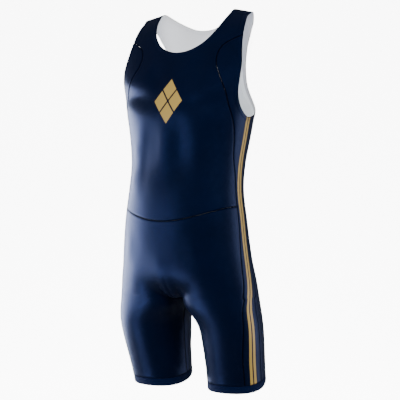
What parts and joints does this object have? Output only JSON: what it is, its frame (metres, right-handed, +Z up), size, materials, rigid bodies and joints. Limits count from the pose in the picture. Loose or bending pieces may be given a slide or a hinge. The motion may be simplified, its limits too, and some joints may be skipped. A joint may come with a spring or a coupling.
{
  "type": "rowing unisuit",
  "caption": "Sleeveless one-piece rowing suit in satin stretch knit, worn shape with scoop neck, cut-away armholes, curved waist seam, thigh-length legs and gold side stripes.",
  "frame": {"origin": "midway between the two shoulder straps, on the line where they rest on the shoulders", "axes": "+Z up along the body, -Y to the front, +X towards the wearer's left"},
  "size_m": [0.3564, 0.2494, 0.8883],
  "materials": {
    "navy_knit": "satin stretch knit, pale inside",
    "striped_knit": "satin stretch knit with two printed gold stripes",
    "band_knit": "matte gripper band knit"
  },
  "bodies": {
    "root": {"front_body": "navy_knit", "back_body": "navy_knit", "side_panel_left": "striped_knit", "side_panel_right": "striped_knit", "front_shorts": "navy_knit", "back_shorts": "navy_knit", "hem_band_left": "band_knit", "hem_band_right": "band_knit"}
  },
  "joints": []
}
